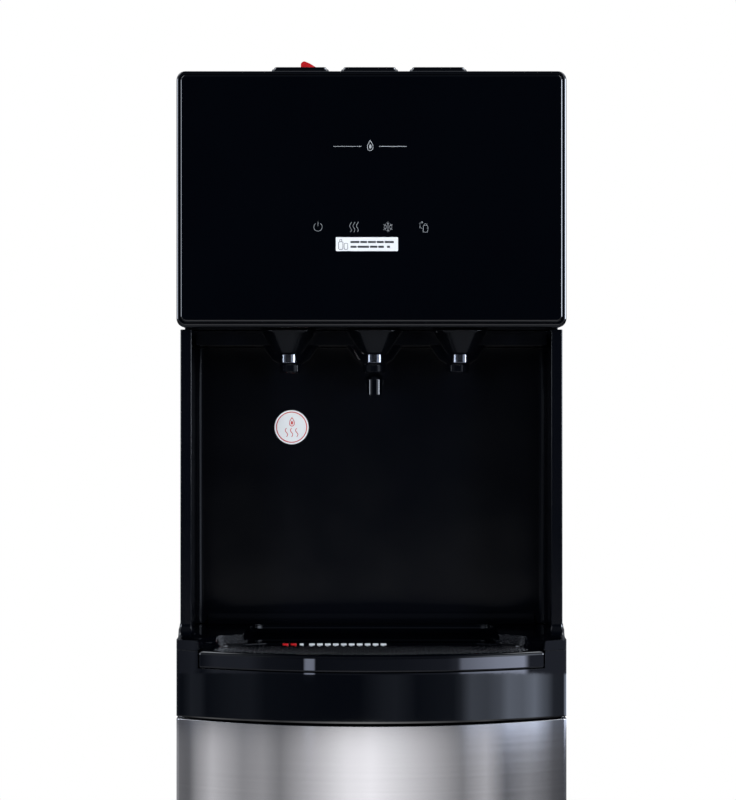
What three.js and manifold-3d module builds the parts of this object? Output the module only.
// Floor-standing bottom-loading water dispenser: three taps, hot / room / cold.
// Millimetres, +Z up, front faces -Y, +X to the viewer's right.
// Origin: centre of the footprint, on the floor.
import * as THREE from 'three';
import { mergeVertices } from 'three/addons/utils/BufferGeometryUtils.js';
import Module from 'manifold-3d';

const wasm = await Module();
wasm.setup();

// ---------------------------------------------------------------- dimensions
const W = 312;               // width over the curved lower front
const D = 360;               // depth, door crown to condenser
const HEAD_TOP = 1060;       // top face of the head
const HEAD_BOT = 857;        // underside of the head
const HEAD_HALF = 154.5;     // head half width
const Y_HEAD = -155;         // plane of the glossy head front
const Y_CROWN = -180;        // foremost point of the convex door and apron
const SAG = 44;              // how far the convex front falls back to its ends
const Y_REAR = 166;          // rear edge of the cabinet sides
const Y_PILLAR = -115;       // front edge of the cabinet sides
const Y_BACK = -5;           // front face of the recess back panel
const Z_DOOR0 = 34;          // bottom of the door
const Z_DOOR1 = 545;         // top of the door
const Z_APRON0 = 547;        // bottom of the glossy apron
const Z_DECK = 600;          // grille and deck level
const Z_SHOULDER = 608;      // raised shoulders each side of the tray
const Z_TRAY = 587;          // underside of the drip tray
const TRAY_HALF = 137;       // half width of the tray's front lip
const Z_HOUSING = 845;       // underside of the nozzle housing
const NOZZLE_X = [-67.5, 2.5, 72.5];
const NOZZLE_Y = -95;
const BUTTON_X = [-57, -1.5, 53.5];
const BUTTON_Y = -109;
const BUTTON_W = 42;
const BUTTON_D = 48;
const BUTTON_TOP = 1066;     // top of the push buttons at rest
const PRESS = 5;             // button travel
const Z_CARRIER = 1020;      // top of the spring carrier
const ICON_X = [-42.3, -13.9, 13.0, 41.5];
const ICON_Z = 936.3;
const HINGE_X = -149;        // door pin axis
const HINGE_Y = -126;
const PROBE_X = 122;         // bottle probe, parked in its clip
const PROBE_Y = 90;
const NAMES = ['hot', 'room', 'cold'];

// ------------------------------------------------------------------- colours
const M = (hex, rough, metal) => () =>
  new THREE.MeshStandardMaterial({ color: hex, roughness: rough, metalness: metal });
const gloss = M(0x05060a, 0.08, 0.0);
const satin = M(0x0b0c10, 0.35, 0.0);
const matte = M(0x16171a, 0.7, 0.0);
const paint = M(0x08090d, 0.3, 0.2);
const steel = M(0xb9bac0, 0.28, 1.0);
const galv = M(0x9a9ea2, 0.45, 1.0);
const rubber = M(0x101010, 0.9, 0.0);
const foam = M(0xe6e4dc, 0.95, 0.0);
const red = M(0xc4161c, 0.3, 0.0);
const lens = M(0xd9dde0, 0.4, 0.0);
const board = M(0x1f5a35, 0.6, 0.0);
const blackMetal = M(0x101114, 0.5, 0.6);
const copper = M(0xb87345, 0.35, 1.0);

// ------------------------------------------------------------------- helpers
function clean(geo) {
  const g = geo.clone();
  for (const n of Object.keys(g.attributes)) if (n !== 'position') g.deleteAttribute(n);
  return mergeVertices(g, 1e-4);
}
function solid(geo) {
  const g = clean(geo);
  return new wasm.Manifold(new wasm.Mesh({
    numProp: 3,
    vertProperties: new Float32Array(g.attributes.position.array),
    triVerts: new Uint32Array(g.index.array),
  }));
}
function geometry(man) {
  const m = man.getMesh();
  const g = new THREE.BufferGeometry();
  const out = new Float32Array(m.numVert * 3);
  for (let i = 0; i < m.numVert; i++)
    for (let k = 0; k < 3; k++) out[3 * i + k] = m.vertProperties[i * m.numProp + k];
  g.setAttribute('position', new THREE.BufferAttribute(out, 3));
  g.setIndex(new THREE.BufferAttribute(new Uint32Array(m.triVerts), 1));
  g.computeVertexNormals();
  return g;
}
const box = (x0, x1, y0, y1, z0, z1) =>
  new THREE.BoxGeometry(x1 - x0, y1 - y0, z1 - z0)
    .translate((x0 + x1) / 2, (y0 + y1) / 2, (z0 + z1) / 2);
function outline(points) {
  const s = new THREE.Shape();
  points.forEach(([a, b], i) => (i ? s.lineTo(a, b) : s.moveTo(a, b)));
  s.closePath();
  return s;
}
const extrude = (shape, depth, seg = 6) =>
  new THREE.ExtrudeGeometry(shape, { depth, bevelEnabled: false, curveSegments: seg, steps: 1 });
// plan outline in X, Y raised from z0 to z1
const rise = (shape, z0, z1, seg) => extrude(shape, z1 - z0, seg).translate(0, 0, z0);
// outline in X, Z pushed back from y0 to y1
const push = (shape, y0, y1, seg) =>
  extrude(shape, y1 - y0, seg).rotateX(Math.PI / 2).translate(0, y1, 0);
// outline in Y, Z swept from x0 to x1
const across = (shape, x0, x1, seg) =>
  extrude(shape, x1 - x0, seg).applyMatrix4(new THREE.Matrix4().set(
    0, 0, 1, x0, 1, 0, 0, 0, 0, 1, 0, 0, 0, 0, 0, 1));
function rounded(x0, x1, y0, y1, r) {
  const s = new THREE.Shape();
  s.moveTo(x0 + r, y0); s.lineTo(x1 - r, y0);
  s.absarc(x1 - r, y0 + r, r, -Math.PI / 2, 0, false); s.lineTo(x1, y1 - r);
  s.absarc(x1 - r, y1 - r, r, 0, Math.PI / 2, false); s.lineTo(x0 + r, y1);
  s.absarc(x0 + r, y1 - r, r, Math.PI / 2, Math.PI, false); s.lineTo(x0, y0 + r);
  s.absarc(x0 + r, y0 + r, r, Math.PI, Math.PI * 1.5, false);
  return s;
}
const drum = (r, z0, z1, x = 0, y = 0, n = 20) =>
  new THREE.CylinderGeometry(r, r, z1 - z0, n, 1).rotateX(Math.PI / 2)
    .translate(x, y, (z0 + z1) / 2);
const drumY = (r, y0, y1, x, z, n = 20) =>
  new THREE.CylinderGeometry(r, r, y1 - y0, n, 1).translate(x, (y0 + y1) / 2, z);
const turned = (profile, x, y, n = 20) =>
  new THREE.LatheGeometry(profile.map(([r, z]) => new THREE.Vector2(r, z)), n)
    .rotateX(Math.PI / 2).translate(x, y, 0);
function pipe(points, r, steps, sides = 8) {
  const path = new THREE.CatmullRomCurve3(points.map(p => new THREE.Vector3(...p)), false, 'centripetal');
  const s = new THREE.Shape();
  for (let i = 0; i <= sides; i++) {
    const a = (i / sides) * 2 * Math.PI;
    i ? s.lineTo(r * Math.cos(a), r * Math.sin(a)) : s.moveTo(r, 0);
  }
  return new THREE.ExtrudeGeometry(s, { steps, bevelEnabled: false, extrudePath: path });
}
const dispenser = new THREE.Group();
function part(name, shape, material) {
  const g = shape.isBufferGeometry ? shape : geometry(shape);
  const mesh = new THREE.Mesh(g, material());
  mesh.name = name;
  dispenser.add(mesh);
  return mesh;
}
// convex front: a circular arc through the crown and both ends
const HALF = W / 2;
const R_FRONT = (HALF * HALF + SAG * SAG) / (2 * SAG);
const frontY = (x, inset = 0) =>
  Y_CROWN + R_FRONT - Math.sqrt((R_FRONT - inset) ** 2 - x * x);
function arcRow(x0, x1, inset, n) {
  const pts = [];
  for (let i = 0; i <= n; i++) {
    const x = x0 + ((x1 - x0) * i) / n;
    pts.push([x, frontY(x, inset)]);
  }
  return pts;
}

// ------------------------------------------------------ feet, base and sides
for (const [tag, sx, sy] of [['front_left', -1, -1], ['front_right', 1, -1],
                             ['rear_left', -1, 1], ['rear_right', 1, 1]])
  part(`foot_${tag}`, turned([[0, 0], [13, 0], [15, 2], [15, 9], [9, 10], [9, 13.7], [0, 13.7]],
    sx * 122, sy < 0 ? -98 : 138, 20), rubber);

{
  const plan = outline([...arcRow(-150, 150, 10, 16), [150, Y_REAR - 1], [-150, Y_REAR - 1]]);
  let base = solid(rise(plan, 14, 32));
  base = base.subtract(solid(box(-140, 140, -112, Y_REAR - 12, 24, 40)));
  part('base_pan', base.subtract(solid(drum(3.5, 20, 40, HINGE_X, HINGE_Y, 16))), matte);
}

for (const [tag, s] of [['left', -1], ['right', 1]]) {
  const plate = across(outline([[Y_PILLAR, 32.5], [Y_REAR, 32.5], [Y_REAR, HEAD_TOP - 4],
    [-69.5, HEAD_TOP - 4], [-69.5, HEAD_BOT - 0.5], [Y_PILLAR, HEAD_BOT - 0.5]]), 152, 154.5);
  const front = box(145.5, 153, Y_PILLAR, Y_PILLAR + 2.5, 32.5, HEAD_BOT - 0.5);
  const back = box(144, 153, Y_REAR - 2, Y_REAR, 32.5, HEAD_TOP - 4);
  let side = solid(plate).add(solid(front)).add(solid(back));
  if (s < 0) side = side.mirror([1, 0, 0]);
  part(`side_panel_${tag}`, side, paint);
}

part('compartment_back_wall', box(-143.5, 143.5, 118, 120, 32.5, 548.7), galv);
part('mid_shelf', rise(outline([[-151, -111.8], [151, -111.8], [151, 163], [-151, 163]]), 549, 552), galv);
{
  let rear = solid(box(-151.7, 151.7, 161.5, 163.5, 552.5, HEAD_TOP - 4.5));
  for (let i = 0; i < 6; i++)
    rear = rear.subtract(solid(box(-60, 60, 150, 170, 600 + i * 14, 606 + i * 14)));
  rear = rear.subtract(solid(box(-118, -72, 150, 170, 905, 950)));
  rear = rear.subtract(solid(drumY(9, 150, 170, 100, 600, 16)));
  part('rear_panel', rear, galv);
}

// condenser: one bent tube behind the lower cabinet, its fin wires joined on
{
  const runs = 8, z0 = 75, dz = 56, xr = 112, yc = 172;
  const pts = [];
  for (let i = 0; i < runs; i++) {
    const z = z0 + i * dz, s = i % 2 ? 1 : -1;
    pts.push([s * xr, yc, z], [0, yc, z], [-s * xr, yc, z]);
    if (i < runs - 1) pts.push([-s * (xr + 14), yc, z + dz / 2]);
  }
  let grid = solid(pipe(pts, 2.6, 84, 5));
  for (let k = -3; k <= 3; k++)
    grid = grid.add(solid(box(k * 27 - 0.9, k * 27 + 0.9, 173.6, 175.6, z0 - 12, z0 + (runs - 1) * dz + 12)));
  // flat straps that screw to the rear returns of the sides
  for (const z of [z0 + dz, z0 + 6 * dz])
    grid = grid.add(solid(box(-151, 151, 166.4, 170.6, z - 5, z + 5)));
  for (const s of [-1, 1])
    grid = grid.add(solid(box(s * 102 - 5, s * 102 + 5, 173.8, D / 2, z0 - 6, z0 + 2 + 7 * dz)));
  part('condenser_grid', grid, blackMetal);
}

// ------------------------------------------------------- apron, deck and tray
const TRAY_SIDE = [[136, -132, 0.984, 0.267], [124, -108, 0.781, 0.674], [104, -94, 0.494, 0.875], [86, -86, 0.212, 1]];
const trayPlan = (g) => outline([
  ...arcRow(-TRAY_HALF - g, TRAY_HALF + g, g < 0 ? -g : 0, 14),
  ...TRAY_SIDE.map(([x, y, u, v]) => [x + u * g, y + v * g]),
  ...[...TRAY_SIDE].reverse().map(([x, y, u, v]) => [-x - u * g, y + v * g])]);
{
  const outer = outline([...arcRow(-HALF, HALF, 0, 20), [HALF, Y_PILLAR - 0.4], [-HALF, Y_PILLAR - 0.4]]);
  const inner = outline([...arcRow(-HALF + 4, HALF - 4, 4, 20), [HALF - 4, 0], [-HALF + 4, 0]]);
  let apron = solid(rise(outer, Z_APRON0, Z_DECK))
    .subtract(solid(rise(inner, Z_APRON0 - 1, Z_DECK + 1)))
    .subtract(solid(box(-TRAY_HALF - 1, TRAY_HALF + 1, -200, -100, Z_TRAY - 0.7, 620)));
  // bridge behind the skin that carries the upper door pin
  apron = apron.add(solid(box(-HALF + 2, -136, -138, Y_PILLAR - 0.4, Z_APRON0, Z_APRON0 + 6)));
  apron = apron.subtract(solid(drum(3.5, Z_APRON0 - 2, Z_APRON0 + 4.5, HINGE_X, HINGE_Y, 16)));
  part('front_apron', apron, gloss);
}
{
  const plan = outline([...arcRow(-HALF, HALF, 0, 20), [HALF, Y_PILLAR - 0.4], [145.1, Y_PILLAR - 0.4],
    [145.1, Y_PILLAR + 3], [151.6, Y_PILLAR + 3], [151.6, Y_BACK - 0.3],
    [-151.6, Y_BACK - 0.3], [-151.6, Y_PILLAR + 3], [-145.1, Y_PILLAR + 3], [-145.1, Y_PILLAR - 0.4],
    [-HALF, Y_PILLAR - 0.4]]);
  let deck = solid(rise(plan, Z_DECK + 0.4, Z_SHOULDER));
  const under = outline([...arcRow(-150, 150, 5, 16), [150, Y_PILLAR - 0.4], [145.1, Y_PILLAR - 0.4],
    [145.1, Y_BACK - 0.3], [-145.1, Y_BACK - 0.3], [-145.1, Y_PILLAR - 0.4], [-150, Y_PILLAR - 0.4]]);
  const below = outline([...arcRow(-134, 134, 5, 16), [134, Y_BACK - 0.3], [-134, Y_BACK - 0.3]]);
  deck = deck.add(solid(rise(under, Z_TRAY - 3.5, Z_DECK + 1)));
  deck = deck.subtract(solid(rise(trayPlan(0.6), Z_TRAY - 0.5, Z_SHOULDER + 1)));
  deck = deck.subtract(solid(box(-TRAY_HALF - 1, TRAY_HALF + 1, -200, -140, Z_TRAY - 0.5, Z_SHOULDER + 1)));
  // floor of the bay behind the tray, dished down to grille level
  deck = deck.subtract(solid(rise(rounded(-104.6, 104.6, -112, -13, 10), Z_DECK, Z_SHOULDER + 1)));
  // hollow underside behind the tray pocket
  deck = deck.subtract(solid(box(-100, 100, -66, -14, Z_TRAY - 5, Z_DECK - 4)));
  part('drip_deck', deck, satin);
}
{
  let tray = solid(rise(trayPlan(0), Z_TRAY, Z_DECK + 0.6));
  tray = tray.subtract(solid(rise(trayPlan(-3.7), 597, Z_DECK + 2)));
  tray = tray.subtract(solid(rise(trayPlan(-6.6), 588.8, 598)));
  part('drip_tray', tray, gloss);

  let grille = solid(rise(trayPlan(-4.3), 597.3, 599.6));
  for (let i = -4; i <= 4; i++)
    grille = grille.subtract(solid(box(i * 22 - 8, i * 22 + 8, -108, -105, 590, 610)))
      .subtract(solid(box(i * 22 - 8, i * 22 + 8, -130, -127, 590, 610)))
      .subtract(solid(box(i * 22 - 8, i * 22 + 8, -152, -149, 590, 610)));
  part('drip_grille', grille, matte);
}

// ------------------------------------------------------------------- recess
{
  const plan = outline([[-151.6, Y_PILLAR + 3], [-149.4, Y_PILLAR + 3], [-149.4, Y_BACK - 9], [-146.8, Y_BACK - 2.6],
    [-140.4, Y_BACK], [140.4, Y_BACK], [146.8, Y_BACK - 2.6], [149.4, Y_BACK - 9], [149.4, Y_PILLAR + 3],
    [151.6, Y_PILLAR + 3], [151.6, Y_BACK + 2.5], [-151.6, Y_BACK + 2.5]]);
  part('recess_liner', rise(plan, Z_SHOULDER + 0.4, Z_HOUSING - 0.4), satin);
}
{
  let housing = solid(box(-145, 145, -71.4, Y_BACK + 2, Z_HOUSING, HEAD_BOT - 0.4));
  housing = housing.add(solid(box(-151.6, 151.6, -69, Y_BACK + 2, Z_HOUSING + 6, HEAD_BOT - 0.4)));
  for (const x of NOZZLE_X)
    housing = housing.add(solid(turned([[0, 822], [9.5, 822], [9.5, 830], [15.5, 833],
      [24.5, Z_HOUSING + 1], [24.5, Z_HOUSING + 3], [0, Z_HOUSING + 3]], x, -46, 24)));
  // clear the side returns and hollow the top so the bosses are open channels
  housing = housing.subtract(solid(box(-136, 136, -66, -10, Z_HOUSING + 9, HEAD_BOT + 2)));
  part('nozzle_housing', housing, satin);
}
part('overflow_spout', solid(turned([[0, 804], [4.4, 804], [4.4, 812], [6.2, 812], [6.2, 804], [6.3, 804],
  [6.3, 816], [5.4, 819.4], [3.2, 821.5], [0, 821.7]].slice(0, 0).concat([
  [0, 812], [4.4, 812], [4.4, 804], [6.3, 804], [6.3, 816], [5.4, 819.3], [3.1, 821.3], [0, 821.6]]), 2.5, -78, 20))
  .add(solid(drumY(4.6, -77, Y_BACK - 0.3, 2.5, 815, 14)))
  .add(solid(drumY(8, Y_BACK - 2.3, Y_BACK - 0.3, 2.5, 815, 18))), satin);

for (let i = 0; i < 3; i++) {
  const x = NOZZLE_X[i];
  part(`nozzle_${NAMES[i]}`, turned([[0, 837], [5.2, 837], [10.6, 837], [11.4, 838.2], [22.6, 854.8], [23, 856.2], [23, 856.6], [0, 856.6]],
    x, NOZZLE_Y, 28), gloss);
  part(`nozzle_tip_${NAMES[i]}`, turned([[0, 834.5], [4.8, 834.5], [4.8, 829.6], [6.9, 829.6], [7.1, 830.2], [7.1, 836.7], [0, 836.7]],
    x, NOZZLE_Y, 24), steel);
  // pinch valve on the head floor, its lever plate under the button stem
  const bx = BUTTON_X[i];
  part(`valve_${NAMES[i]}`, solid(turned([[0, 861.4], [14, 861.4], [14, 884], [10, 890], [10, 916], [0, 916]], x, NOZZLE_Y, 16))
    .add(solid(box(Math.min(x, bx) - 7, Math.max(x, bx) + 7, -113, -90, 912, 919))), satin);
}

// --------------------------------------------------------------------- head
{
  const outer = rounded(-HEAD_HALF, HEAD_HALF, HEAD_BOT, HEAD_TOP, 6);
  let shell = solid(push(outer, Y_HEAD + 1.5, -70, 4));
  shell = shell.subtract(solid(push(rounded(-HEAD_HALF + 3, HEAD_HALF - 3, HEAD_BOT + 3, HEAD_TOP - 3, 3), -149, -60, 4)));
  // step that takes the glossy front plate
  shell = shell.subtract(solid(push(rounded(-151.4, 151.4, 860.6, 1057.4, 5), Y_HEAD - 5, -150.6, 4)));
  shell = shell.subtract(solid(push(rounded(-146, 146, 866, 1052, 3), Y_HEAD - 5, -140, 4)));
  for (const x of BUTTON_X)
    shell = shell.subtract(solid(rise(rounded(x - BUTTON_W / 2 - 0.7, x + BUTTON_W / 2 + 0.7,
      BUTTON_Y - BUTTON_D / 2 - 0.7, BUTTON_Y + BUTTON_D / 2 + 0.7, 5.5), 1050, 1070, 3)));
  for (const x of NOZZLE_X)
    shell = shell.subtract(solid(drum(9, 850, 870, x, NOZZLE_Y, 16)));
  part('head_shell', shell, gloss);
}
{
  let plate = solid(push(rounded(-151, 151, 861, 1057, 5), Y_HEAD, -151, 4));
  for (const x of ICON_X) plate = plate.subtract(solid(drumY(4.9, Y_HEAD - 1, -150, x, ICON_Z, 20)));
  part('head_front_panel', plate, gloss);
}
{
  // one clear moulding: four lens pads joined by a bar behind the front plate
  let guide = solid(box(-50, 49, -150.7, -149.3, ICON_Z - 4, ICON_Z + 4));
  for (const x of ICON_X) guide = guide.add(solid(drumY(4.55, Y_HEAD, -150, x, ICON_Z, 20)));
  part('indicator_light_guide', guide, lens);
}
part('control_board', box(-70, 70, -148.4, -146.8, 915, 958), board);
part('top_cover', solid(box(-151.7, 151.7, -69.6, 161, 1053.2, 1055.7))
  .add(solid(box(-154.5, 154.5, -69.6, Y_REAR, 1056.4, HEAD_TOP)))
  .add(solid(box(-150, 150, -60, 160, 1055, 1057))), satin);
{
  let carrier = solid(box(-97, 101, -133, -84, Z_CARRIER - 3, Z_CARRIER));
  for (const x of BUTTON_X) carrier = carrier.subtract(solid(drum(5, 1000, 1040, x, BUTTON_Y, 14)));
  for (const x of [-92, 96]) carrier = carrier.add(solid(box(x - 4, x + 4, -130, -87, 860.4, Z_CARRIER - 1)));
  part('button_carrier', carrier, matte);
}
for (let i = 0; i < 3; i++) {
  const x = BUTTON_X[i], w = BUTTON_W / 2, d = BUTTON_D / 2;
  let button = solid(rise(rounded(x - w, x + w, BUTTON_Y - d, BUTTON_Y + d, 5), 1051, BUTTON_TOP, 3));
  button = button.subtract(solid(rise(rounded(x - w + 2, x + w - 2, BUTTON_Y - d + 2, BUTTON_Y + d - 2, 3.5), 1040, BUTTON_TOP - 2.5, 3)));
  button = button.add(solid(drum(4.2, 925, BUTTON_TOP - 2, x, BUTTON_Y, 14)));
  button = button.add(solid(drum(9, 1050, BUTTON_TOP - 2, x, BUTTON_Y, 14)));
  if (i === 0) // groove for the sliding lock
    button = button.subtract(solid(box(x - 6, x + 16, -119, -99, BUTTON_TOP - 1.2, BUTTON_TOP + 2)));
  part(`button_${NAMES[i]}`, button, gloss);

  const coil = [];
  for (let k = 0; k <= 40; k++) {
    const a = (k / 10) * 2 * Math.PI;
    coil.push([x + 6.6 * Math.cos(a), BUTTON_Y + 6.6 * Math.sin(a), Z_CARRIER + 1.2 + (k / 40) * 27.4]);
  }
  part(`button_spring_${NAMES[i]}`, pipe(coil, 0.75, 36, 4), steel);
}
{
  const x = BUTTON_X[0];
  part('child_lock', across(outline([[-118.4, BUTTON_TOP - 0.9], [-99.6, BUTTON_TOP - 0.9], [-99.6, BUTTON_TOP + 1.5],
    [-101, BUTTON_TOP + 4], [-117, BUTTON_TOP + 4], [-118.4, BUTTON_TOP + 1.5]]), x, x + 13.4), red);
}

// -------------------------------------------------- cold, hot and water parts
{
  const x = 0, y = 80;
  part('cold_tank_insulation', turned([[0, 874], [77, 874], [77, 1034], [60.5, 1034], [60.5, 890], [0, 890]], x, y, 28), foam);
  part('cold_tank', turned([[0, 891], [59, 891], [59, 1030], [40, 1042], [12, 1042], [12, 1046], [10, 1046], [10, 1040], [39, 1040], [57, 1029], [57, 893], [0, 893]], x, y, 24), steel);
}
part('hot_tank', turned([[0, 632], [12, 632], [12, 638], [50, 642], [50, 812], [12, 818], [12, 826], [10, 826], [10, 816], [48, 810], [48, 644], [0, 640]], -82, 82, 24), steel);
part('compressor', solid(turned([[0, 556], [40, 558], [62, 572], [66, 590], [66, 660], [60, 690], [34, 708], [0, 712]], 70, 84, 24))
  .add(solid(box(10, 130, 62, 106, 552.6, 558)))
  .subtract(solid(drum(34, 550, 680, 70, 84, 20))), blackMetal);
part('water_pump', solid(box(-112, -52, 50, 108, 552.6, 590)).add(solid(drumY(15, 20, 52, -82, 573, 16))), matte);

// bottle probe parked in its clip at the top of the compartment, with its hose
part('probe_clip', solid(box(112.5, 131.5, 82, 117.7, 500, 504)).add(solid(box(112.5, 131.5, 114.5, 117.7, 485, 509)))
  .subtract(solid(drum(6.8, 490, 508, PROBE_X, PROBE_Y, 20))).subtract(solid(box(115.4, 128.6, 78, 90, 495, 508))), satin);
part('probe_cap', turned([[0, 513], [8.8, 513], [8.8, 512.4], [22.5, 512.4], [24, 514], [24, 528], [20, 532], [9, 532], [9, 536], [0, 536]],
  PROBE_X, PROBE_Y, 24), M(0x2b62a8, 0.4, 0.0));
part('probe_tube', turned([[0, 150], [5, 150], [6, 154], [6, 512.7], [0, 512.7]], PROBE_X, PROBE_Y, 14), lens);
part('probe_hose', drum(4.6, 536.3, 548.7, PROBE_X, PROBE_Y, 12), M(0xdfe6ea, 0.5, 0.0));

// --------------------------------------------------------------------- door
{
  const outer = outline([...arcRow(-HALF, HALF, 0, 20), [HALF, -119.4], [-HALF, -119.4]]);
  const inner = outline([...arcRow(-HALF + 1.4, HALF - 1.4, 1.4, 20), [HALF - 1.4, -100], [-HALF + 1.4, -100]]);
  // finger pull: a scoop in the free edge behind the front face
  const scoop = solid(box(138, 160, -131, -110, 330, 430));
  part('door_skin', solid(rise(outer, Z_DOOR0, Z_DOOR1)).subtract(solid(rise(inner, Z_DOOR0 - 1, Z_DOOR1 + 1)))
    .subtract(scoop), steel);
  const fill = outline([...arcRow(-HALF + 1.8, HALF - 1.8, 1.8, 20), [HALF - 1.8, -118], [-HALF + 1.8, -118]]);
  const well = outline([...arcRow(-128, 128, 6, 14), [128, -110], [-128, -110]]);
  let liner = solid(rise(fill, Z_DOOR0 + 0.4, Z_DOOR1 - 0.4));
  liner = liner.subtract(solid(rise(well, Z_DOOR0 + 16, Z_DOOR1 - 16)));
  for (const z of [Z_DOOR0, Z_DOOR1])
    liner = liner.subtract(solid(drum(3.5, z - 14, z + 14, HINGE_X, HINGE_Y, 16)));
  part('door_liner', liner.subtract(scoop), satin);
}
part('hinge_pin_bottom', turned([[0, 21], [3, 21], [3, 32.3], [5.4, 32.3], [5.4, 33.8], [3, 33.8], [3, 45], [0, 45]], HINGE_X, HINGE_Y, 16), steel);
part('hinge_pin_top', turned([[0, 534], [3, 534], [3, 545.2], [5.4, 545.2], [5.4, 546.6], [3, 546.6], [3, 551], [0, 551]], HINGE_X, HINGE_Y, 16), steel);
part('door_catch', box(136, 145.2, -114.5, -104, 470, 500), matte);

// ---------------------------------------------------------------- rear fittings
{
  let frame = solid(box(-121, -69, 163.8, 166.6, 902, 953)).add(solid(box(-117.5, -72.5, 152, 165, 905.5, 949.5)));
  for (const x of [-106, -84]) frame = frame.subtract(solid(box(x - 8.3, x + 8.3, 156, 170, 914.5, 940.5)));
  part('switch_housing', frame, matte);
  [['heating', -106], ['cooling', -84]].forEach(([tag, x]) =>
    part(`switch_rocker_${tag}`, across(outline([[157.5, 923], [163, 916], [167.5, 916.4], [166.2, 927.5], [170.2, 938.4], [163, 939],
      [157.5, 932]]), x - 7.6, x + 7.6), x < -90 ? red : matte));
}
part('drain_outlet', solid(drumY(6, 152, 166, 100, 600, 16)).add(solid(drumY(13, 163.8, 166, 100, 600, 18))), satin);
part('drain_cap', drumY(11, 166.4, 178, 100, 600, 18), matte);
{
  let inlet = solid(box(-140, -104, 120.4, 152, 500, 532)).subtract(solid(box(-134, -110, 134, 160, 507.5, 524.5)));
  for (const [dx, dz] of [[-7, 0], [7, 0], [0, 4]])
    inlet = inlet.add(solid(box(-122 + dx - 1, -122 + dx + 1, 132, 146, 516 + dz - 2, 516 + dz + 2)));
  part('power_inlet', inlet, matte);
}

export default dispenser;
